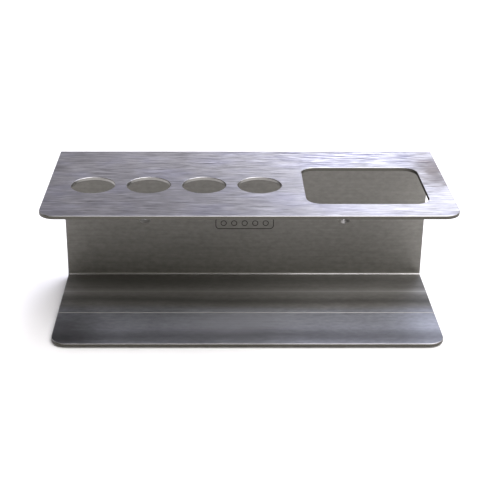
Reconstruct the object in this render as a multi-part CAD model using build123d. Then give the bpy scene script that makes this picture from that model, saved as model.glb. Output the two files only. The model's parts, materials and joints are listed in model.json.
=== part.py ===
from build123d import *
import os

# Airbrush holder stand: one sheet of stainless steel folded into a C that is open to the front,
# standing on four thin self-adhesive rubber pads.
#
# Frame: millimetres, +Z up, X along the folds. The front, where the tools are put in, faces -Y.
# The origin is on the bench, under the middle of the stand's outline.

# ---- driving dimensions -------------------------------------------------------------------
STAND_WIDTH = 270.0          # length of the folds, along X
SHELF_DEPTH = 124.0          # front edge of the shelf to the back of the wall
BASE_DEPTH = 110.0           # front edge of the base to the back of the wall
BODY_HEIGHT = 103.0          # underside of the base to the top of the shelf
SHEET = 2.5                  # sheet thickness
FOLD_INNER_RADIUS = 2.0      # inside radius of both folds
FRONT_CORNER_RADIUS = 11.0   # corners of the shelf and the base, seen from above
EDGE_BREAK = 0.4             # rounding left by deburring every cut edge

HOLE_DIAMETER = 29.5         # round tool holes in the shelf
HOLE_PITCH = 37.5            # centre to centre along X
HOLE_COUNT = 4
FIRST_HOLE_FROM_END = 30.5   # centre of the leftmost hole to the left end of the sheet
CUTOUT_LINE_FROM_FRONT = 53.5  # line of centres of the holes and of the pot opening

POT_WIDTH = 80.5             # rounded rectangular opening for a cleaning pot or a cup tray
POT_DEPTH = 66.5
POT_CORNER_RADIUS = 10.0
POT_FROM_END = 16.5          # right side of the opening to the right end of the sheet

SCREW_SPACING = 150.0        # two countersunk holes in the wall
SCREW_HOLE_DIAMETER = 6.0
COUNTERSINK_DIAMETER = 10.0
COUNTERSINK_DEPTH = 2.0      # 90 degree countersink on the front face of the wall
SCREW_HEIGHT = 50.0          # above the underside of the base

SCORE_FROM_WALL = 62.5       # fine line scored across the base, from the wall's front face
SCORE_WIDTH = 0.8
SCORE_DEPTH = 0.3

PAD_DIAMETER = 14.0          # rubber pads under the base
PAD_THICKNESS = 1.0
PAD_RIM_RADIUS = 0.35        # rounded lower rim of a pad
PAD_INSET = 18.0             # centre of a pad to the ends and to the front and back of the base

# ---- worked out ---------------------------------------------------------------------------
FRONT_Y = -SHELF_DEPTH / 2
WALL_BACK_Y = SHELF_DEPTH / 2
WALL_FRONT_Y = WALL_BACK_Y - SHEET
BASE_FRONT_Y = WALL_BACK_Y - BASE_DEPTH
BASE_UNDER_Z = PAD_THICKNESS
BASE_TOP_Z = BASE_UNDER_Z + SHEET
SHELF_TOP_Z = BASE_UNDER_Z + BODY_HEIGHT
SHELF_UNDER_Z = SHELF_TOP_Z - SHEET
SHELF_MIDDLE_Z = SHELF_TOP_Z - SHEET / 2
CUTOUT_Y = FRONT_Y + CUTOUT_LINE_FROM_FRONT
HALF_WIDTH = STAND_WIDTH / 2
FOLD_OUTER_RADIUS = FOLD_INNER_RADIUS + SHEET
CUT_THROUGH = 4 * SHEET      # height of a cutter that passes right through the sheet
TOUCH = 0.01                 # distance, in mm, under which two places are the same
ALONG = 0.99                 # cosine above which a direction lies along an axis


def folded_sheet():
    """The C profile with its two folds, drawn in the YZ plane and extruded along X."""
    outline = [
        (FRONT_Y, SHELF_TOP_Z),
        (WALL_BACK_Y, SHELF_TOP_Z),
        (WALL_BACK_Y, BASE_UNDER_Z),
        (BASE_FRONT_Y, BASE_UNDER_Z),
        (BASE_FRONT_Y, BASE_TOP_Z),
        (WALL_FRONT_Y, BASE_TOP_Z),
        (WALL_FRONT_Y, SHELF_UNDER_Z),
        (FRONT_Y, SHELF_UNDER_Z),
    ]
    profile = make_face(Plane.YZ * Polyline(*outline, close=True))
    outer = [v for v in profile.vertices() if abs(v.Y - WALL_BACK_Y) < TOUCH]
    profile = fillet_corners(profile, outer, FOLD_OUTER_RADIUS)
    inner = [v for v in profile.vertices() if abs(v.Y - WALL_FRONT_Y) < TOUCH]
    profile = fillet_corners(profile, inner, FOLD_INNER_RADIUS)
    return extrude(profile, amount=HALF_WIDTH, both=True)


def fillet_corners(profile, corners, radius):
    """Round the chosen corners of a flat profile that lies in the YZ plane."""
    flat = Plane.YZ.to_local_coords(profile)
    chosen = [
        v for v in flat.vertices()
        if any(abs(v.X - c.Y) < TOUCH and abs(v.Y - c.Z) < TOUCH for c in corners)
    ]
    return Plane.YZ * fillet(chosen, radius)


def round_front_corners(body):
    """Round the free corners of the shelf and of the base."""
    upright = body.edges().filter_by(Axis.Z)
    front = [e for e in upright if e.center().Y < CUTOUT_Y]
    return fillet(front, FRONT_CORNER_RADIUS)


def hole_centres():
    """Places of the round tool holes, from left to right."""
    first_x = -HALF_WIDTH + FIRST_HOLE_FROM_END
    return [(first_x + i * HOLE_PITCH, CUTOUT_Y) for i in range(HOLE_COUNT)]


def tool_holes():
    """Cutters for the round tool holes."""
    return [
        Pos(x, y, SHELF_MIDDLE_Z) * Cylinder(HOLE_DIAMETER / 2, CUT_THROUGH)
        for x, y in hole_centres()
    ]


def pot_opening():
    """Cutter for the rounded rectangular opening at the right of the shelf."""
    centre_x = HALF_WIDTH - POT_FROM_END - POT_WIDTH / 2
    outline = RectangleRounded(POT_WIDTH, POT_DEPTH, POT_CORNER_RADIUS)
    return Pos(centre_x, CUTOUT_Y, SHELF_MIDDLE_Z) * extrude(outline, amount=CUT_THROUGH / 2, both=True)


def screw_hole(x):
    """Cutter for one countersunk hole in the wall, its cone open to the front."""
    height = BASE_UNDER_Z + SCREW_HEIGHT
    shank = Cylinder(SCREW_HOLE_DIAMETER / 2, CUT_THROUGH)
    slope = (COUNTERSINK_DIAMETER - SCREW_HOLE_DIAMETER) / 2 / COUNTERSINK_DEPTH
    run_out = 1.0
    cone = Cone(
        SCREW_HOLE_DIAMETER / 2,
        COUNTERSINK_DIAMETER / 2 + slope * run_out,
        COUNTERSINK_DEPTH + run_out,
        align=(Align.CENTER, Align.CENTER, Align.MIN),
    )
    cutter = shank + Pos(0, 0, -COUNTERSINK_DEPTH) * cone
    return Pos(x, WALL_FRONT_Y, height) * Rot(90, 0, 0) * cutter


def score_line():
    """Cutter for the fine V-shaped line scored right across the base."""
    y = WALL_FRONT_Y - SCORE_FROM_WALL
    run_out = SCORE_DEPTH
    half = SCORE_WIDTH / 2 * (1 + run_out / SCORE_DEPTH)
    notch = [
        (y - half, BASE_TOP_Z + run_out),
        (y + half, BASE_TOP_Z + run_out),
        (y, BASE_TOP_Z - SCORE_DEPTH),
    ]
    return extrude(make_face(Plane.YZ * Polyline(*notch, close=True)), amount=STAND_WIDTH, both=True)


def is_cut_side(face):
    """True for a face that the sheet's thickness shows on: its ends, fronts and openings."""
    middle = face.position_at(0.5, 0.5)
    normal = face.normal_at(middle)
    on_end = abs(abs(middle.X) - HALF_WIDTH) < TOUCH and abs(normal.X) > ALONG
    in_shelf_or_base = middle.Z > SHELF_UNDER_Z or middle.Z < BASE_TOP_Z
    ahead_of_fold = middle.Y < WALL_FRONT_Y - FOLD_OUTER_RADIUS
    return on_end or (in_shelf_or_base and ahead_of_fold and abs(normal.Z) < TOUCH)


def crosses_sheet(edge):
    """True for an edge that runs straight through the thickness of the shelf or the base."""
    middle = edge.position_at(0.5)
    upright = abs(edge.tangent_at(0.5).Z) > ALONG
    return upright and (middle.Z > SHELF_UNDER_Z or middle.Z < BASE_TOP_Z)


def sheet_rims(body):
    """Edges between a cut side of the sheet and one of its two large surfaces."""
    sides = [face for face in body.faces() if is_cut_side(face)]
    return [edge for side in sides for edge in side.edges() if not crosses_sheet(edge)]


def stand_body():
    """The whole folded sheet with its openings, scored line and deburred edges."""
    body = round_front_corners(folded_sheet())
    for cutter in tool_holes():
        body -= cutter
    body -= pot_opening()
    body = fillet(sheet_rims(body), EDGE_BREAK)
    for side in (-1, 1):
        body -= screw_hole(side * SCREW_SPACING / 2)
    body -= score_line()
    return body


def pad_centres():
    """Names and places of the four pads under the base."""
    left_x = -HALF_WIDTH + PAD_INSET
    front_y = BASE_FRONT_Y + PAD_INSET
    rear_y = WALL_BACK_Y - PAD_INSET
    return {
        "pad_front_left": (left_x, front_y),
        "pad_front_right": (-left_x, front_y),
        "pad_rear_left": (left_x, rear_y),
        "pad_rear_right": (-left_x, rear_y),
    }


def rubber_pad():
    """A thin rubber disc with a rounded lower rim."""
    disc = Cylinder(
        PAD_DIAMETER / 2,
        PAD_THICKNESS,
        align=(Align.CENTER, Align.CENTER, Align.MIN),
    )
    lower_rim = disc.edges().sort_by(Axis.Z)[0]
    return fillet(lower_rim, PAD_RIM_RADIUS)


os.makedirs("parts", exist_ok=True)

parts = {"folded_body": stand_body()}
for name, (x, y) in pad_centres().items():
    parts[name] = Pos(x, y, 0) * rubber_pad()

for name, shape in parts.items():
    shape.label = name
    export_step(shape, "parts/" + name + ".step")
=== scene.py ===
import json
import math

import bmesh
import bpy
from bpy.props import FloatProperty, FloatVectorProperty, IntProperty, PointerProperty
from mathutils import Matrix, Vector


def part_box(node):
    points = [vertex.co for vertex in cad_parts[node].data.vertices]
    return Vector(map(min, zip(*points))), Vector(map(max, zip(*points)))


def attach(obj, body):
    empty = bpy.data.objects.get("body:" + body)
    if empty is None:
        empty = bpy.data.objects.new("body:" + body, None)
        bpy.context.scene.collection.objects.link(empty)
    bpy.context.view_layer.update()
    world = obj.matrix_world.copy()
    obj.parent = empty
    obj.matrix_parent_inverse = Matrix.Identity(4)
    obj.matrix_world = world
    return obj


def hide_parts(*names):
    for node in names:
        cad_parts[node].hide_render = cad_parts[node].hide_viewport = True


bl_info = {
    "name": "Airbrush Holder Stand",
    "version": (1, 0, 0),
    "blender": (4, 5, 0),
    "location": "View3D > Sidebar > Stand",
    "description": "Models a folded stainless steel airbrush stand, its rubber pads and a small studio",
    "category": "Object",
}

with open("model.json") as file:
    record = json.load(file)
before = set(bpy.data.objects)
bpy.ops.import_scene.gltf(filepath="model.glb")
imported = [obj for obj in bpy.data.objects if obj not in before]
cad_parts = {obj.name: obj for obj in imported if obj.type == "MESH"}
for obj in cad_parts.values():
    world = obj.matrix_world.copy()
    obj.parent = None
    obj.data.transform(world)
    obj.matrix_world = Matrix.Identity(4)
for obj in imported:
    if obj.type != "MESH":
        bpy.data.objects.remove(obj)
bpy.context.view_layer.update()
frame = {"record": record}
MOUNTS = {mount["name"]: mount for mount in frame["record"]["mounts"]}
OPENINGS = {opening["name"]: opening for opening in frame["record"]["physics"]["openings"]}
BODY_LOW, BODY_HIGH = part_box("folded_body")
PADS = ["pad_front_left", "pad_front_right", "pad_rear_left", "pad_rear_right"]
TOOL_HOLES = [MOUNTS[name] for name in sorted(MOUNTS) if name.startswith("tool_hole")]
WALL_SCREWS = MOUNTS["wall_screws"]

MM = 0.001
TOUCH = 0.02 * MM            # two places nearer than this are the same
FACING = 0.9                 # a face whose normal has this much of a direction faces that way
SMOOTH_ANGLE = 35            # degrees: an edge that turns less than this is shaded smooth
DEBURR_ANGLE = 40            # degrees: an edge that turns more than this is rounded by the brush
THROUGH = 4                  # depth of a cutter that passes right through the sheet, in its thicknesses
SCREW_STEPS = 64             # segments round a screw hole
RING_STEPS = 48              # segments round a ring of the ornament
PAD_STEPS = 96               # segments round a pad
INNER, OUTER, CUT, RIM, HOLE, ETCHED, SCORED = range(7)   # material slots of the sheet

MIX = "ShaderNodeMix"
RANGE = "ShaderNodeMapRange"
MATH = "ShaderNodeMath"
VECTOR = "ShaderNodeVectorMath"
BLEND = {"data_type": "RGBA"}                               # a Mix node that blends colours
TINT = {"data_type": "RGBA", "blend_type": "MULTIPLY"}      # a Mix node that multiplies them
NOISE = {"From Min": 0.3, "From Max": 0.7}                  # noise mostly stays between these


# ---- small helpers ------------------------------------------------------------------------

def linear(hex_colour):
    """An sRGB hex colour as linear red, green, blue and alpha."""
    channels = [int(hex_colour[i:i + 2], 16) / 255 for i in (1, 3, 5)]
    curve = [c / 12.92 if c <= 0.04045 else ((c + 0.055) / 1.055) ** 2.4 for c in channels]
    return (*curve, 1.0)


def add_node(tree, kind, inputs=None, **settings):
    """Adds a node with its settings. An input is linked if it is given a node or an output, or else set."""
    node = tree.nodes.new(kind)
    for name, value in settings.items():
        setattr(node, name, value)
    for name, value in (inputs or {}).items():
        socket = next(s for s in node.inputs if s.enabled and name in (s.name, s.identifier))
        if isinstance(value, bpy.types.Node):
            value = next(s for s in value.outputs if s.enabled)
        if isinstance(value, bpy.types.NodeSocket):
            tree.links.new(value, socket)
        else:
            socket.default_value = value
    return node


def new_material(name):
    """A material and its node tree, which is still empty."""
    material = bpy.data.materials.new(name)
    material.use_nodes = True
    material.node_tree.nodes.clear()
    return material, material.node_tree


def deselect_all():
    """Leaves edit mode and selects nothing."""
    if bpy.context.object and bpy.context.object.mode != "OBJECT":
        bpy.ops.object.mode_set(mode="OBJECT")
    bpy.ops.object.select_all(action="DESELECT")


def only(obj):
    """Makes obj the one selected and active object."""
    deselect_all()
    obj.select_set(True)
    bpy.context.view_layer.objects.active = obj


def start_edit(obj, mode="FACE"):
    """Opens obj in edit mode with nothing selected."""
    only(obj)
    bpy.ops.object.mode_set(mode="EDIT")
    bpy.ops.mesh.select_mode(type=mode)
    bpy.ops.mesh.select_all(action="DESELECT")


def end_edit():
    """Goes back to object mode."""
    bpy.ops.object.mode_set(mode="OBJECT")


def pick(kind, test):
    """In edit mode, selects the vertices, edges or faces that pass a test, and nothing else."""
    obj = bpy.context.object
    bpy.ops.mesh.select_all(action="DESELECT")
    mesh = bmesh.from_edit_mesh(obj.data)
    for element in getattr(mesh, kind):
        if test(element):
            element.select_set(True)
    mesh.select_flush_mode()
    bmesh.update_edit_mesh(obj.data)


def modify(obj, kind, **settings):
    """Adds a modifier with its settings and applies it."""
    only(obj)
    modifier = obj.modifiers.new(kind.title(), kind)
    for name, value in settings.items():
        setattr(modifier, name, value)
    bpy.ops.object.modifier_apply(modifier=modifier.name)


def settle():
    """Puts the selected objects' places into their meshes."""
    bpy.ops.object.transform_apply(location=True, rotation=True, scale=True)


def cut_away(obj, cutter, slot):
    """Cuts the cutter out of obj and removes it. The new faces take the given material slot."""
    cutter.data.materials.clear()
    for material in obj.data.materials:
        cutter.data.materials.append(material)
    for face in cutter.data.polygons:
        face.material_index = slot
    modify(obj, "BOOLEAN", operation="DIFFERENCE", solver="EXACT", object=cutter)
    bpy.data.objects.remove(cutter)


def wall_front(sizes):
    """How far back the wall's front face is."""
    return BODY_HIGH.y - sizes.sheet


def base_top(sizes):
    """How high the upper face of the base is."""
    return BODY_LOW.z + sizes.sheet


# ---- materials ----------------------------------------------------------------------------

def streaks(tree, where, length, pitch, detail, roughness=0.5):
    """Noise drawn out along the folds: streaks of the given length, with the pitch between them."""
    stretch = (1 / length, 1 / pitch, 1 / pitch)
    place = add_node(tree, "ShaderNodeMapping", {"Vector": where, "Scale": stretch})
    inputs = {"Vector": place, "Scale": 1.0, "Detail": detail, "Roughness": roughness}
    return add_node(tree, "ShaderNodeTexNoise", inputs)


def patch(tree, where, place, size, strength, ragged):
    """The strength round a place. It falls to 0 at about the given size along X, Y and Z from there, and
    ragged is the share of that size by which the edge strays."""
    offset = add_node(tree, VECTOR, {"Vector": where, "Vector_001": place}, operation="SUBTRACT")
    scaled = add_node(tree, VECTOR, {"Vector": offset, "Vector_001": size}, operation="DIVIDE")
    away = add_node(tree, VECTOR, {"Vector": scaled}, operation="LENGTH")
    smear = streaks(tree, where, length=9 * MM, pitch=3 * MM, detail=3.0)
    shift = add_node(tree, RANGE, {"Value": smear, **NOISE, "To Min": -ragged, "To Max": ragged})
    edge = add_node(tree, MATH, {"Value": away, "Value_001": shift}, operation="ADD")
    fall = {"Value": edge, "From Min": 0.3, "From Max": 1.1, "To Min": strength, "To Max": 0.0}
    return add_node(tree, RANGE, fall)


def band(tree, distance, place, width, strength):
    """The strength at a distance from the wall. It falls smoothly to 0 at the edges of a band."""
    offset = add_node(tree, MATH, {"Value": distance, "Value_001": place}, operation="SUBTRACT")
    away = add_node(tree, MATH, {"Value": offset}, operation="ABSOLUTE")
    fall = {"Value": away, "From Min": 0.0, "From Max": width / 2, "To Min": strength, "To Max": 0.0}
    return add_node(tree, RANGE, fall, interpolation_type="SMOOTHSTEP")


def across_the_grain(tree):
    """The direction along the surface that is square to the grain, which runs along the folds."""
    normal = add_node(tree, "ShaderNodeNewGeometry").outputs["Normal"]
    return add_node(tree, VECTOR, {"Vector": normal, "Vector_001": (1, 0, 0)}, operation="CROSS_PRODUCT")


def finish_material(tree, inputs):
    """Adds the shader with its inputs, and the output."""
    shader = add_node(tree, "ShaderNodeBsdfPrincipled", inputs)
    add_node(tree, "ShaderNodeOutputMaterial", {"Surface": shader})


def brushed_stainless(look):
    """Stainless steel brushed with an abrasive belt, on the outside of the folded sheet. The belt leaves
    short streaks along the folds, which stretch every reflection across them, broad soft bands and a few
    longer scratches. At the rear right of the shelf, where the highlight falls, coarser streaks are painted
    white and cool violet as painted highlights and painted reflections. The front of the shelf is painted
    darker towards the left as painted shade, and a faint brown painted reflection of something dark lies at
    the right end. The streaks of a real belt are too fine to show, so they are drawn coarser."""
    material, tree = new_material("brushed_stainless_sheet")
    where = add_node(tree, "ShaderNodeTexCoord").outputs["Object"]
    grain = streaks(tree, where, look.grain_length, look.grain_pitch, detail=5.0, roughness=0.75)
    bands = streaks(tree, where, length=400 * MM, pitch=14 * MM, detail=2.0)
    clouds = streaks(tree, where, length=30 * MM, pitch=16 * MM, detail=2.0)
    scratches = streaks(tree, where, length=13 * MM, pitch=0.9 * MM, detail=1.0, roughness=0.4)
    coarse = streaks(tree, where, length=20 * MM, pitch=1.3 * MM, detail=2.0, roughness=0.6)
    top = BODY_HIGH.z
    # Painted highlight: the patch at the rear right of the shelf where the highlight falls
    painted_highlight_patch = patch(
        tree, where, place=(80 * MM, 46 * MM, top), size=(80 * MM, 26 * MM, 10 * MM), strength=1.0,
        ragged=0.4,
    )
    # Painted shade: darkens the front of the shelf towards the left
    painted_shade_front_left = patch(
        tree, where, place=(-40 * MM, -50 * MM, top), size=(105 * MM, 85 * MM, 20 * MM), strength=0.42,
        ragged=0.05,
    )
    # Painted reflection: a faint brown dark patch at the right end of the shelf
    painted_dark_reflection = patch(
        tree, where, place=(129 * MM, 20 * MM, top), size=(15 * MM, 38 * MM, 5 * MM), strength=0.7,
        ragged=0.4,
    )

    share = add_node(tree, RANGE, {"Value": grain, **NOISE})
    tone = add_node(tree, MIX, {"Factor": share, "A": look.brushed_dark, "B": look.brushed_light}, **BLEND)
    share = add_node(tree, RANGE, {
        "Value": bands, "From Min": 0.35, "From Max": 0.65, "To Min": 0.22, "To Max": 0.0,
    })
    tone = add_node(tree, MIX, {"Factor": share, "A": tone, "B": linear("#8C8A88")}, **TINT)
    share = add_node(tree, RANGE, {"Value": clouds, "From Min": 0.45, "From Max": 0.7, "To Max": 0.4})
    tone = add_node(tree, MIX, {"Factor": share, "A": tone, "B": look.tint}, **TINT)
    scratch = add_node(tree, RANGE, {"Value": scratches, "From Min": 0.64, "From Max": 0.76, "To Max": 0.6})
    tone = add_node(tree, MIX, {"Factor": scratch, "A": tone, "B": look.scratch}, **BLEND)
    # Painted highlight and painted reflection: white and violet coarse streaks, only in the rear right patch
    share = add_node(tree, RANGE, {"Value": coarse, "From Min": 0.52, "From Max": 0.38})
    share = add_node(tree, MATH, {"Value": share, "Value_001": painted_highlight_patch}, operation="MULTIPLY")
    tone = add_node(tree, MIX, {"Factor": share, "A": tone, "B": linear("#B4B4D2")}, **TINT)
    share = add_node(tree, RANGE, {"Value": coarse, "From Min": 0.52, "From Max": 0.64})
    share = add_node(tree, MATH, {"Value": share, "Value_001": painted_highlight_patch}, operation="MULTIPLY")
    tone = add_node(tree, MIX, {"Factor": share, "A": tone, "B": linear("#D8D8DC")}, **BLEND)
    # Painted shade at the front left of the shelf
    tone = add_node(tree, MIX, {"Factor": painted_shade_front_left, "A": tone, "B": linear("#8A8A8C")}, **TINT)
    # Painted reflection of something dark at the right end of the shelf
    tone = add_node(tree, MIX, {"Factor": painted_dark_reflection, "A": tone, "B": linear("#84766A")}, **TINT)

    mean = look.brushed_roughness
    rough = add_node(tree, RANGE, {"Value": grain, **NOISE, "To Min": mean - 0.05, "To Max": mean + 0.06})
    cloudy = add_node(tree, RANGE, {"Value": clouds, **NOISE, "To Min": -0.03, "To Max": 0.04})
    rough = add_node(tree, MATH, {"Value": rough, "Value_001": cloudy}, operation="ADD")
    height = add_node(tree, MATH, {"Value": grain, "Value_001": scratch}, operation="SUBTRACT")
    bump = add_node(tree, "ShaderNodeBump", {"Height": height, "Strength": 0.3, "Distance": 0.03 * MM})
    finish_material(tree, {
        "Base Color": tone, "Metallic": 1.0, "Roughness": rough, "Normal": bump,
        "Anisotropic": look.brushed_anisotropy, "Tangent": across_the_grain(tree),
    })
    return material


def mill_finish(sizes, look):
    """Cold-rolled mill finish, on the inside of the folded sheet: dull, pearly and a little warm, with faint
    lines along the rolling direction and a soft mottle in place of the belt's streaks. Its microscopic pits
    scatter some light like a dull paint, so it isn't wholly metallic. Bands run across the base: painted
    shade near the wall and at the edge of the shelf's shadow, a darker band along the front edge, and a
    lighter painted band with a fine bright line about 29 mm from the wall. The front half of the base, past
    the shelf's shadow, is painted lighter as painted light, most in a painted pool of light in the middle,
    and its ends are painted darker as painted shade."""
    material, tree = new_material("mill_finish_stainless")
    where = add_node(tree, "ShaderNodeTexCoord").outputs["Object"]
    lines = streaks(tree, where, length=60 * MM, pitch=1.6 * MM, detail=3.0, roughness=0.6)
    mottle = streaks(tree, where, length=5 * MM, pitch=3 * MM, detail=3.0, roughness=0.6)
    drift = streaks(tree, where, length=150 * MM, pitch=60 * MM, detail=1.0)
    parts = add_node(tree, "ShaderNodeSeparateXYZ", {"Vector": where}).outputs
    front = wall_front(sizes)
    distance = add_node(tree, MATH, {"Value": front, "Value_001": parts["Y"]}, operation="SUBTRACT")
    on_base = add_node(tree, RANGE, {"Value": parts["Z"], "From Min": 40 * MM, "From Max": 30 * MM})
    waver = add_node(tree, RANGE, {"Value": drift, **NOISE, "To Min": -3 * MM, "To Max": 3 * MM})
    wavering = add_node(tree, MATH, {"Value": distance, "Value_001": waver}, operation="ADD")
    top = base_top(sizes)
    # Painted light: a pool of light on the middle of the base's front
    painted_light_pool = patch(
        tree, where, place=(-6 * MM, -18 * MM, top), size=(52 * MM, 46 * MM, 10 * MM), strength=0.45,
        ragged=0.15,
    )
    # Painted shade: the left and right ends of the base are darkened
    painted_shade_left = patch(
        tree, where, place=(BODY_LOW.x, -34 * MM, top), size=(40 * MM, 52 * MM, 10 * MM), strength=0.85,
        ragged=0.08,
    )
    painted_shade_right = patch(
        tree, where, place=(BODY_HIGH.x, 24 * MM, top), size=(34 * MM, 42 * MM, 10 * MM), strength=0.55,
        ragged=0.08,
    )
    # Painted shade near the wall and at the shelf's shadow edge, a darker band at the front edge, and a
    # lighter painted band with a fine bright line
    painted_shade_bands = ((11, 22, 0.30), (43, 14, 0.45), (98, 30, 0.60))   # mm from the wall, mm wide, strength
    painted_light_bands = ((29, 16, 0.20), (29, 1.4, 0.35))

    share = add_node(tree, RANGE, {"Value": mottle, **NOISE})
    tone = add_node(tree, MIX, {"Factor": share, "A": look.mill_dark, "B": look.mill_light}, **BLEND)
    # Painted light: lighter tones for the front of the base, past the edge of the shelf's shadow
    bright = add_node(tree, MIX, {"Factor": share, "A": look.painted_lit_dark, "B": look.painted_lit_light}, **BLEND)
    bright = add_node(tree, MIX, {"Factor": painted_light_pool, "A": bright, "B": linear("#C4C5CC")}, **BLEND)
    start = {"Value": wavering, "From Min": 48 * MM, "From Max": 62 * MM}
    lit = add_node(tree, RANGE, start, interpolation_type="SMOOTHSTEP")
    lit = add_node(tree, MATH, {"Value": lit, "Value_001": on_base}, operation="MULTIPLY")
    tone = add_node(tree, MIX, {"Factor": lit, "A": tone, "B": bright}, **BLEND)
    # Painted shade at both ends of the base
    tone = add_node(tree, MIX, {"Factor": painted_shade_left, "A": tone, "B": linear("#84837F")}, **TINT)
    tone = add_node(tree, MIX, {"Factor": painted_shade_right, "A": tone, "B": linear("#84837F")}, **TINT)
    share = add_node(tree, RANGE, {
        "Value": lines, "From Min": 0.35, "From Max": 0.65, "To Min": 0.14, "To Max": 0.0,
    })
    tone = add_node(tree, MIX, {"Factor": share, "A": tone, "B": linear("#8C8A88")}, **TINT)
    # Painted shade bands and painted light bands across the base
    for place, width, strength in painted_shade_bands:
        share = band(tree, wavering, place * MM, width * MM, strength)
        tone = add_node(tree, MIX, {"Factor": share, "A": tone, "B": linear("#7A7976")}, **TINT)
    for place, width, strength in painted_light_bands:
        share = band(tree, distance, place * MM, width * MM, strength)
        tone = add_node(tree, MIX, {"Factor": share, "A": tone, "B": linear("#C8C7C2")}, **BLEND)

    mean = look.mill_roughness
    both = add_node(tree, MATH, {"Value": lines, "Value_001": mottle}, operation="ADD")
    rough = add_node(tree, RANGE, {
        "Value": both, "From Min": 0.7, "From Max": 1.3, "To Min": mean - 0.04, "To Max": mean + 0.04,
    })
    bump = add_node(tree, "ShaderNodeBump", {"Height": lines, "Strength": 0.15, "Distance": 0.02 * MM})
    finish_material(tree, {
        "Base Color": tone, "Metallic": look.mill_metallic, "Roughness": rough, "Normal": bump,
        "Anisotropic": look.mill_anisotropy, "Tangent": across_the_grain(tree),
    })
    return material


def plain_steel(name, dark, light, roughness, size, metallic=1.0):
    """Steel without a direction to its grain, mottled between two tones at the given size."""
    material, tree = new_material(name)
    where = add_node(tree, "ShaderNodeTexCoord").outputs["Object"]
    mottle = streaks(tree, where, length=size, pitch=size, detail=3.0)
    tone = add_node(tree, MIX, {"Factor": mottle, "A": linear(dark), "B": linear(light)}, **BLEND)
    rough = add_node(tree, RANGE, {
        "Value": mottle, **NOISE, "To Min": roughness - 0.06, "To Max": roughness + 0.06,
    })
    finish_material(tree, {"Base Color": tone, "Metallic": metallic, "Roughness": rough})
    return material


def sheet_materials(sizes, look):
    """The sheet's materials, in the order of its slots."""
    return [
        mill_finish(sizes, look),
        brushed_stainless(look),
        # Melted by the laser: dark, warm and satin.
        plain_steel("laser_cut_edge", dark="#46443F", light="#605E58", roughness=0.45, size=0.8 * MM),
        # Rubbed round by the deburring brush: light and smooth, so it draws a fine line round the sheet.
        plain_steel("deburred_steel_rim", dark="#A8A6A5", light="#B8B6B4", roughness=0.34, size=6 * MM),
        # Sheared and burnished by the punch: brighter than a laser's cut.
        plain_steel("punched_hole_wall", dark="#7E7C79", light="#9A9894", roughness=0.42, size=3 * MM),
        # Burnt by a marking laser: nearly black and matt.
        plain_steel("laser_etched_steel", dark="#2E2D2B", light="#4A4845", roughness=0.60, size=0.5 * MM),
        # Torn open by a scoring tool: a light, rough groove that scatters some light like a dull paint.
        plain_steel(
            "scored_steel", dark="#8F8D89", light="#ABA9A5", roughness=0.62, size=1.5 * MM, metallic=0.5,
        ),
    ]


def pad_rubber():
    """Moulded black rubber with a fine matt grain."""
    material, tree = new_material("moulded_pad_rubber")
    where = add_node(tree, "ShaderNodeTexCoord").outputs["Object"]
    grain = streaks(tree, where, length=0.4 * MM, pitch=0.4 * MM, detail=3.0)
    tone = add_node(tree, MIX, {"Factor": grain, "A": linear("#1E1E20"), "B": linear("#34343A")}, **BLEND)
    rough = add_node(tree, RANGE, {"Value": grain, **NOISE, "To Min": 0.66, "To Max": 0.78})
    bump = add_node(tree, "ShaderNodeBump", {"Height": grain, "Strength": 0.4, "Distance": 0.05 * MM})
    finish_material(tree, {"Base Color": tone, "Roughness": rough, "Normal": bump})
    return material


def studio_paper():
    """Matt pale paper, with a cloudiness that is only just there."""
    material, tree = new_material("studio_paper")
    where = add_node(tree, "ShaderNodeTexCoord").outputs["Object"]
    cloud = streaks(tree, where, length=250 * MM, pitch=250 * MM, detail=2.0)
    tone = add_node(tree, MIX, {"Factor": cloud, "A": linear("#F5F4F0"), "B": linear("#F8F7F4")}, **BLEND)
    finish_material(tree, {"Base Color": tone, "Roughness": 0.9})
    return material


# ---- the folded sheet ---------------------------------------------------------------------

def folded_blank(sizes):
    """The outside of the sheet as a strip: base, wall and shelf, with round folds and round free corners."""
    width = BODY_HIGH.x - BODY_LOW.x
    base_front = BODY_HIGH.y - sizes.base_depth
    deselect_all()
    bpy.ops.mesh.primitive_plane_add(size=1, location=(0, (base_front + BODY_HIGH.y) / 2, BODY_LOW.z))
    sheet = bpy.context.object
    bpy.ops.transform.resize(value=(width, sizes.base_depth, 1))
    settle()

    start_edit(sheet, "EDGE")
    pick("edges", lambda e: all(abs(v.co.y - BODY_HIGH.y) < TOUCH for v in e.verts))
    up = (0, 0, BODY_HIGH.z - BODY_LOW.z)
    forward = (0, BODY_LOW.y - BODY_HIGH.y, 0)
    bpy.ops.mesh.extrude_region_move(TRANSFORM_OT_translate={"value": up})
    bpy.ops.mesh.extrude_region_move(TRANSFORM_OT_translate={"value": forward})

    def is_fold(edge):
        a, b = (v.co for v in edge.verts)
        return abs(a.y - BODY_HIGH.y) < TOUCH and abs(b.y - BODY_HIGH.y) < TOUCH and abs(a.z - b.z) < TOUCH

    pick("edges", is_fold)
    bpy.ops.mesh.bevel(
        offset=sizes.fold_radius + sizes.sheet, segments=sizes.fold_steps, profile=0.5, affect="EDGES",
        clamp_overlap=False,
    )
    bpy.ops.mesh.select_mode(type="VERT")
    pick("verts", lambda v: min(abs(v.co.y - base_front), abs(v.co.y - BODY_LOW.y)) < TOUCH)
    bpy.ops.mesh.bevel(
        offset=sizes.corner_radius, segments=sizes.corner_steps, profile=0.5, affect="VERTICES",
        clamp_overlap=False,
    )
    end_edit()
    return sheet


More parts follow.
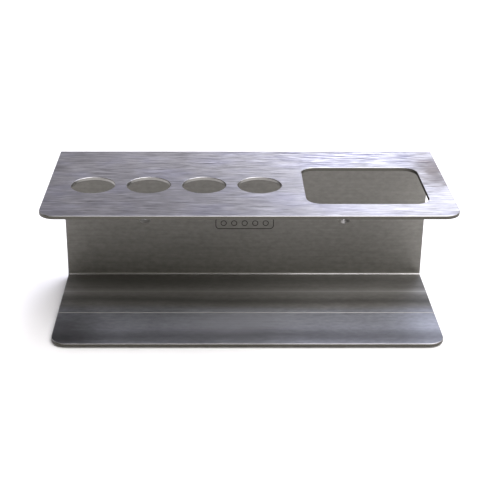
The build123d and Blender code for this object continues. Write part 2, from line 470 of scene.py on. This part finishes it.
def thicken(sheet, sizes):
    """Gives the strip the sheet's thickness, towards the inside of the C."""
    modify(
        sheet, "SOLIDIFY", thickness=sizes.sheet, offset=1.0, use_even_offset=True,
        use_quality_normals=True, material_offset=OUTER, material_offset_rim=CUT,
    )
    start_edit(sheet)
    bpy.ops.mesh.select_all(action="SELECT")
    bpy.ops.mesh.normals_make_consistent(inside=False)
    end_edit()


def cut_tool_holes(sheet, sizes):
    """Cuts the row of round holes where the frame has them."""
    for hole in TOOL_HOLES:
        deselect_all()
        bpy.ops.mesh.primitive_cylinder_add(
            vertices=sizes.hole_steps, radius=hole["dims"]["r_mm"] * MM, depth=THROUGH * sizes.sheet,
            location=hole["pos_m"],
        )
        cut_away(sheet, bpy.context.object, HOLE)


def cut_pot_opening(sheet, sizes):
    """Cuts the rounded rectangular opening, centred on the space that the frame keeps clear in it."""
    low, high = (Vector(corner) for corner in OPENINGS["pot_opening"]["box_m"])
    deselect_all()
    bpy.ops.mesh.primitive_cube_add(size=1, location=(low + high) / 2)
    cutter = bpy.context.object
    bpy.ops.transform.resize(value=(sizes.pot_width, sizes.pot_depth, high.z - low.z))
    settle()
    start_edit(cutter, "EDGE")
    pick("edges", lambda e: abs(e.verts[0].co.z - e.verts[1].co.z) > TOUCH)
    bpy.ops.mesh.bevel(offset=sizes.pot_corner, segments=sizes.corner_steps, profile=0.5, affect="EDGES")
    end_edit()
    cut_away(sheet, cutter, CUT)


def deburr(sheet, sizes):
    """Rounds every rim of the sheet as a deburring brush does. Rims that face down or to the left are given
    the dull cut material as painted shade, and the middle of the lower fold is given the light rim material
    as a painted highlight."""
    modify(
        sheet, "BEVEL", width=sizes.edge_break, segments=3, limit_method="ANGLE",
        angle_limit=math.radians(DEBURR_ANGLE), material=RIM, use_clamp_overlap=True,
    )
    down, left = -0.2, -0.3      # a rim whose normal is below these faces down or to the left
    slope = 0.64                 # the middle of the fold rises and faces the front by this much at least
    for face in sheet.data.polygons:
        normal = face.normal
        # Painted shade: rims that face down or to the left take the dull cut material
        if face.material_index == RIM and (normal.z < down or normal.x < left):
            face.material_index = CUT
        # Painted highlight: the middle of the lower fold takes the light rim material
        if face.material_index == INNER and normal.z > slope and normal.y < -slope:
            face.material_index = RIM


def countersink(sheet, sizes):
    """Cuts the two screw holes in the wall, each with a cone that opens to the front."""
    radius = WALL_SCREWS["dims"]["hole_r_mm"] * MM
    height = WALL_SCREWS["pos_m"][2]
    run_out = 1 * MM             # the cone's cutter stands this far out of the wall
    slope = (sizes.countersink / 2 - radius) / sizes.countersink_depth
    mouth = sizes.countersink / 2 + run_out * slope
    tip = radius * 0.98          # just inside the hole, so that the cutters' faces don't coincide
    for side in (-1, 1):
        x = side * WALL_SCREWS["dims"]["spacing_x_mm"] * MM / 2
        deselect_all()
        bpy.ops.mesh.primitive_cylinder_add(
            vertices=SCREW_STEPS, radius=radius, depth=THROUGH * sizes.sheet,
            location=(x, wall_front(sizes), height), rotation=(math.pi / 2, 0, 0),
        )
        cut_away(sheet, bpy.context.object, CUT)
        deselect_all()
        bpy.ops.mesh.primitive_cone_add(
            vertices=SCREW_STEPS, radius1=mouth, radius2=tip, depth=sizes.countersink_depth + run_out,
            location=(x, wall_front(sizes) + (sizes.countersink_depth - run_out) / 2, height),
            rotation=(-math.pi / 2, 0, 0),
        )
        cut_away(sheet, bpy.context.object, RIM)


def score(sheet, sizes):
    """Cuts the fine V-shaped line across the base with a square bar that stands on its edge."""
    half_width = sizes.score_width / 2
    deselect_all()
    bpy.ops.mesh.primitive_cylinder_add(
        vertices=4, radius=half_width, depth=2 * (BODY_HIGH.x - BODY_LOW.x),
        location=(0, wall_front(sizes) - sizes.score_from_wall, base_top(sizes)),
        rotation=(0, math.pi / 2, 0),
    )
    cutter = bpy.context.object
    bpy.ops.transform.resize(value=(1, 1, sizes.score_depth / half_width))
    settle()
    cut_away(sheet, cutter, SCORED)


def flat_bar(place, width, height, depth, corner):
    """A bar with round corners that faces the front."""
    deselect_all()
    bpy.ops.mesh.primitive_cube_add(size=1, location=place)
    bar = bpy.context.object
    bpy.ops.transform.resize(value=(width, depth, height))
    settle()
    start_edit(bar, "EDGE")
    pick("edges", lambda e: abs(e.verts[0].co.y - e.verts[1].co.y) > TOUCH)
    bpy.ops.mesh.bevel(offset=corner, segments=8, profile=0.5, affect="EDGES")
    end_edit()
    return bar


def flat_disc(place, radius, depth):
    """A disc that faces the front."""
    deselect_all()
    bpy.ops.mesh.primitive_cylinder_add(
        vertices=RING_STEPS, radius=radius, depth=depth, location=place, rotation=(math.pi / 2, 0, 0),
    )
    settle()
    return bpy.context.object


def hollow_out(solid, thickness):
    """Turns a flat solid into a closed ring: its flat faces are inset and joined through the middle."""
    start_edit(solid)
    pick("faces", lambda f: abs(f.normal.y) > FACING)
    bpy.ops.mesh.inset(thickness=thickness)
    bpy.ops.mesh.bridge_edge_loops()
    end_edit()


def engrave(sheet, sizes):
    """Etches a plain ornament on the wall: a long frame with a row of five small rings in it."""
    height = sizes.mark_height
    depth = 2 * sizes.etch_depth  # half of each cutter stands out of the wall
    corner = height * 0.3
    radius = height * 0.24
    pitch = sizes.mark_width * 0.18
    centre = Vector((0, wall_front(sizes), sizes.mark_bottom + height / 2))
    cutters = [flat_bar(centre, sizes.mark_width, height, depth, corner)]
    for place in range(-2, 3):
        cutters.append(flat_disc(centre + Vector((place * pitch, 0, 0)), radius, depth))
    for cutter in cutters:
        hollow_out(cutter, sizes.etch_line)
        cut_away(sheet, cutter, ETCHED)


def weld(obj):
    """Joins points that the cuts have left on top of each other."""
    start_edit(obj, "VERT")
    bpy.ops.mesh.select_all(action="SELECT")
    bpy.ops.mesh.remove_doubles(threshold=TOUCH / 10)
    bpy.ops.mesh.dissolve_degenerate(threshold=TOUCH / 10)
    end_edit()


def round_the_shading(obj):
    """Smooth shading over the rounds, with the large flat faces kept flat."""
    only(obj)
    bpy.ops.object.shade_smooth_by_angle(angle=math.radians(SMOOTH_ANGLE))
    modify(obj, "WEIGHTED_NORMAL", mode="FACE_AREA", weight=100, keep_sharp=True)


class STAND_OT_folded_sheet(bpy.types.Operator):
    """Model the folded sheet with its openings, deburred rims, countersinks, scored line and ornament"""

    bl_idname = "stand.folded_sheet"
    bl_label = "Folded Sheet"

    def execute(self, context):
        sizes = context.scene.stand_sizes
        look = context.scene.stand_look
        sheet = folded_blank(sizes)
        sheet.name = sheet.data.name = "folded_sheet"
        for material in sheet_materials(sizes, look):
            sheet.data.materials.append(material)
        thicken(sheet, sizes)
        cut_tool_holes(sheet, sizes)
        cut_pot_opening(sheet, sizes)
        deburr(sheet, sizes)
        countersink(sheet, sizes)
        score(sheet, sizes)
        engrave(sheet, sizes)
        weld(sheet)
        round_the_shading(sheet)
        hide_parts("folded_body")
        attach(sheet, "root")
        return {"FINISHED"}


# ---- rubber pads --------------------------------------------------------------------------

def rubber_pad(node, sizes):
    """One pad: a disc with a rounded rim and ring grooves on its underside."""
    low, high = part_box(node)
    centre = (low + high) / 2
    radius = (high.x - low.x) / 2
    land = radius * 0.18         # flat rubber between two grooves
    deselect_all()
    bpy.ops.mesh.primitive_cylinder_add(
        vertices=PAD_STEPS, radius=radius, depth=high.z - low.z, end_fill_type="NGON", location=centre,
    )
    pad = bpy.context.object
    settle()
    start_edit(pad)
    pick("faces", lambda f: f.normal.z < -FACING)
    for ring in range(sizes.pad_rings):
        bpy.ops.mesh.inset(thickness=land)
        bpy.ops.mesh.inset(thickness=sizes.pad_groove, depth=-sizes.pad_groove)
        bpy.ops.mesh.inset(thickness=sizes.pad_groove, depth=sizes.pad_groove)
    bpy.ops.mesh.select_mode(type="EDGE")

    def is_lower_rim(edge):
        a, b = (v.co for v in edge.verts)
        at_rim = (a - centre).xy.length > radius - TOUCH and (b - centre).xy.length > radius - TOUCH
        return at_rim and a.z < low.z + TOUCH and b.z < low.z + TOUCH

    pick("edges", is_lower_rim)
    bpy.ops.mesh.bevel(offset=sizes.pad_rim, segments=4, profile=0.5, affect="EDGES")
    end_edit()
    return pad


class STAND_OT_rubber_pads(bpy.types.Operator):
    """Model one rubber pad and copy it to the four places under the base"""

    bl_idname = "stand.rubber_pads"
    bl_label = "Rubber Pads"

    def execute(self, context):
        sizes = context.scene.stand_sizes
        first = rubber_pad(PADS[0], sizes)
        round_the_shading(first)
        first.data.materials.append(pad_rubber())
        pads = {PADS[0]: first}
        for node in PADS[1:]:
            pad = first.copy()
            pad.data = first.data.copy()
            context.collection.objects.link(pad)
            pad.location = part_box(node)[0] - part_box(PADS[0])[0]
            only(pad)
            settle()
            pads[node] = pad
        for node, pad in pads.items():
            pad.name = pad.data.name = node + "_disc"
            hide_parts(node)
            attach(pad, "root")
        return {"FINISHED"}


# ---- studio -------------------------------------------------------------------------------

def softbox(name, place, target, width, height, power, colour):
    """Sets up a rectangular area light that the camera doesn't see."""
    data = bpy.data.lights.new(name, "AREA")
    data.shape = "RECTANGLE"
    data.size = width
    data.size_y = height
    data.energy = power
    data.color = linear(colour)[:3]
    light = bpy.data.objects.new(name, data)
    light.location = place
    light.rotation_euler = (Vector(target) - Vector(place)).to_track_quat("-Z", "Y").to_euler()
    light.visible_camera = False
    bpy.context.collection.objects.link(light)


class STAND_OT_studio(bpy.types.Operator):
    """Set up the pale floor, the soft lights and the camera"""

    bl_idname = "stand.studio"
    bl_label = "Studio"

    def execute(self, context):
        shot = context.scene.stand_shot
        deselect_all()
        bpy.ops.mesh.primitive_plane_add(size=40, location=(0, 0, 0))
        floor = context.object
        floor.name = floor.data.name = "studio_floor"
        floor.data.materials.append(studio_paper())

        middle = (0, 0, 0.05)
        softbox(
            "key_softbox", place=(0.95, -0.5, 2.4), target=middle, width=2.6, height=2.6,
            power=shot.key_power, colour="#FBFAFF",
        )
        softbox(
            "overhead_softbox", place=(0.07, 0.7, 1.7), target=middle, width=1.05, height=1.2,
            power=shot.overhead_power, colour="#ECE8FF",
        )
        softbox(
            "rear_softbox", place=(0.55, 1.3, 1.7), target=middle, width=0.9, height=1.2,
            power=shot.rear_power, colour="#E2E8FF",
        )
        softbox(
            "front_softbox", place=(1.1, -2.0, 1.1), target=middle, width=2.6, height=1.6,
            power=shot.front_power, colour="#FBFAF2",
        )
        softbox(
            "left_softbox", place=(-1.7, 1.15, 1.3), target=middle, width=2.0, height=1.2,
            power=shot.left_power, colour="#F4F2FF",
        )

        world = bpy.data.worlds.new("studio_surround")
        world.use_nodes = True
        world.node_tree.nodes.clear()
        walls = {"Color": linear("#8F8D84"), "Strength": shot.surround}
        background = add_node(world.node_tree, "ShaderNodeBackground", walls)
        add_node(world.node_tree, "ShaderNodeOutputWorld", {"Surface": background})
        context.scene.world = world
        context.scene.view_settings.view_transform = "Standard"

        camera_data = bpy.data.cameras.new("camera")
        camera_data.lens = shot.lens
        camera_data.sensor_width = 36.0
        camera_data.shift_x = shot.shift_x
        camera_data.shift_y = shot.shift_y
        camera_data.clip_start = 0.01
        camera_data.clip_end = 50
        camera = bpy.data.objects.new("camera", camera_data)
        camera.location = shot.place
        camera.rotation_euler = (math.radians(90) - shot.tilt, 0, 0)
        context.collection.objects.link(camera)
        context.scene.camera = camera
        return {"FINISHED"}


# ---- properties and panel -----------------------------------------------------------------

def length(name, description, millimetres):
    """A length property, in metres, with its default given in millimetres."""
    return FloatProperty(
        name=name, description=description, default=millimetres * MM, min=0, precision=5,
        unit="LENGTH", subtype="DISTANCE",
    )


def count(name, description, default, **limits):
    """A property that counts, with its limits."""
    return IntProperty(name=name, description=description, default=default, **limits)


def colour(name, description, hex_colour):
    """A colour property, with its default given as an sRGB hex value."""
    return FloatVectorProperty(
        name=name, description=description, default=linear(hex_colour), size=4, min=0, max=1,
        subtype="COLOR",
    )


def fraction(name, description, default):
    """A property between 0 and 1."""
    return FloatProperty(name=name, description=description, default=default, min=0, max=1, subtype="FACTOR")


def power(name, description, watts):
    """A light's power."""
    return FloatProperty(name=name, description=description, default=watts, min=0, unit="POWER")


class StandSizes(bpy.types.PropertyGroup):
    """Sizes of the sheet and the pads that the frame doesn't already give"""

    sheet: length("Sheet", "Thickness of the sheet", 2.5)
    base_depth: length("Base Depth", "Front edge of the base to the back of the wall", 110)
    fold_radius: length("Fold Radius", "Inside radius of both folds", 2)
    corner_radius: length("Corner Radius", "Free corners of the shelf and the base", 11)
    edge_break: length("Edge Break", "Rounding of the deburred rims", 0.4)
    pot_width: length("Pot Width", "Pot opening along the folds", 80.5)
    pot_depth: length("Pot Depth", "Pot opening across the folds", 66.5)
    pot_corner: length("Pot Corner", "Corner radius of the pot opening", 10)
    countersink: length("Countersink", "Diameter of the countersinks in the wall", 10)
    countersink_depth: length("Countersink Depth", "Depth of the countersinks", 2)
    score_from_wall: length("Score", "Scored line to the wall's front face", 62.5)
    score_width: length("Score Width", "Width of the scored line", 0.8)
    score_depth: length("Score Depth", "Depth of the scored line", 0.3)
    mark_width: length("Mark Width", "Width of the ornament on the wall", 44)
    mark_height: length("Mark Height", "Height of the ornament", 9.5)
    mark_bottom: length("Mark Bottom", "Lower edge of the ornament above the bench", 41.5)
    etch_line: length("Etched Line", "Width of the etched lines", 0.6)
    etch_depth: length("Etch Depth", "Depth of the etched lines", 0.12)
    pad_rim: length("Pad Rim", "Rounding of a pad's lower rim", 0.35)
    pad_groove: length("Pad Groove", "Half the width, and the depth, of the rings under a pad", 0.25)
    pad_rings: count("Pad Rings", "Ring grooves under a pad", 3, min=0, max=4)
    fold_steps: count("Fold Steps", "Segments in a fold", 16, min=4)
    corner_steps: count("Corner Steps", "Segments in a corner", 20, min=4)
    hole_steps: count("Hole Steps", "Segments round a tool hole", 128, min=32)


class StandLook(bpy.types.PropertyGroup):
    """The steel's finish"""

    grain_length: length("Grain Length", "Length of a streak left by the belt", 18)
    grain_pitch: length("Grain Pitch", "Distance between the widest streaks", 1.6)
    brushed_dark: colour("Brushed Dark", "Tone in the belt's streaks", "#6C6B6C")
    brushed_light: colour("Brushed Light", "Tone between the streaks", "#BCBBBB")
    tint: colour("Tint", "Faint cool bloom in patches of the belt's finish", "#D2D4F0")
    scratch: colour("Scratch", "Tone of the longer scratches", "#C4C4C6")
    brushed_roughness: fraction("Brushed Roughness", "Mean roughness outside", 0.40)
    brushed_anisotropy: fraction("Brushed Anisotropy", "Stretch across the grain", 0.85)
    mill_dark: colour("Mill Dark", "Darker tone of the mill finish", "#777570")
    mill_light: colour("Mill Light", "Lighter tone of the mill finish", "#86847F")
    # Painted light: tones of the base's front, where light falls past the shelf's shadow
    painted_lit_dark: colour("Painted Lit Dark", "Darker tone where it is rubbed", "#8C8D93")
    painted_lit_light: colour("Painted Lit Light", "Lighter tone where it is rubbed", "#9EA0A5")
    mill_metallic: fraction("Mill Metallic", "Share of light reflected as by metal", 0.75)
    mill_roughness: fraction("Mill Roughness", "Mean roughness inside", 0.48)
    mill_anisotropy: fraction("Mill Anisotropy", "Stretch across the rolling lines", 0.3)


class StandShot(bpy.types.PropertyGroup):
    """Camera and lights"""

    place: FloatVectorProperty(
        name="Camera", description="Where the camera stands", default=(-0.020, -0.7094, 0.3808),
        subtype="TRANSLATION",
    )
    tilt: FloatProperty(
        name="Tilt", description="Angle of the camera below the horizon", default=math.radians(23.61),
        subtype="ANGLE",
    )
    lens: FloatProperty(name="Lens", description="Focal length", default=80.16, min=1, unit="CAMERA")
    shift_x: FloatProperty(name="Shift X", description="Sideways shift of the view", default=0.0637)
    shift_y: FloatProperty(name="Shift Y", description="Upright shift of the view", default=-0.05)
    key_power: power("Key", "Power of the large softbox at the upper right", 120)
    overhead_power: power("Overhead", "Power of the softbox above", 9.2)
    rear_power: power("Rear", "Power of the softbox behind the right side", 16)
    front_power: power("Front", "Power of the weak softbox behind the camera", 16)
    left_power: power("Left", "Power of the softbox behind the left side", 14)
    surround: FloatProperty(name="Surround", description="Brightness of the studio's walls", default=0.4)


class STAND_PT_build(bpy.types.Panel):
    """Sizes, finish, lights and the operators that build the stand"""

    bl_idname = "STAND_PT_build"
    bl_label = "Airbrush Stand"
    bl_space_type = "VIEW_3D"
    bl_region_type = "UI"
    bl_category = "Stand"

    def draw(self, context):
        for group in (context.scene.stand_sizes, context.scene.stand_look, context.scene.stand_shot):
            box = self.layout.box()
            for name in group.__annotations__:
                box.prop(group, name)
        for operator in OPERATORS:
            self.layout.operator(operator.bl_idname)


GROUPS = {"stand_sizes": StandSizes, "stand_look": StandLook, "stand_shot": StandShot}
OPERATORS = (STAND_OT_folded_sheet, STAND_OT_rubber_pads, STAND_OT_studio)
CLASSES = (*GROUPS.values(), *OPERATORS, STAND_PT_build)


def register():
    """Adds the groups, operators and panel to Blender, and the groups to the scene."""
    for cls in CLASSES:
        bpy.utils.register_class(cls)
    for name, group in GROUPS.items():
        setattr(bpy.types.Scene, name, PointerProperty(type=group))


def unregister():
    """Takes them away again."""
    for name in GROUPS:
        delattr(bpy.types.Scene, name)
    for cls in reversed(CLASSES):
        bpy.utils.unregister_class(cls)


def main():
    """Builds the stand and its studio."""
    register()
    bpy.ops.stand.folded_sheet()
    bpy.ops.stand.rubber_pads()
    bpy.ops.stand.studio()
    deselect_all()


if __name__ == "__main__":
    main()
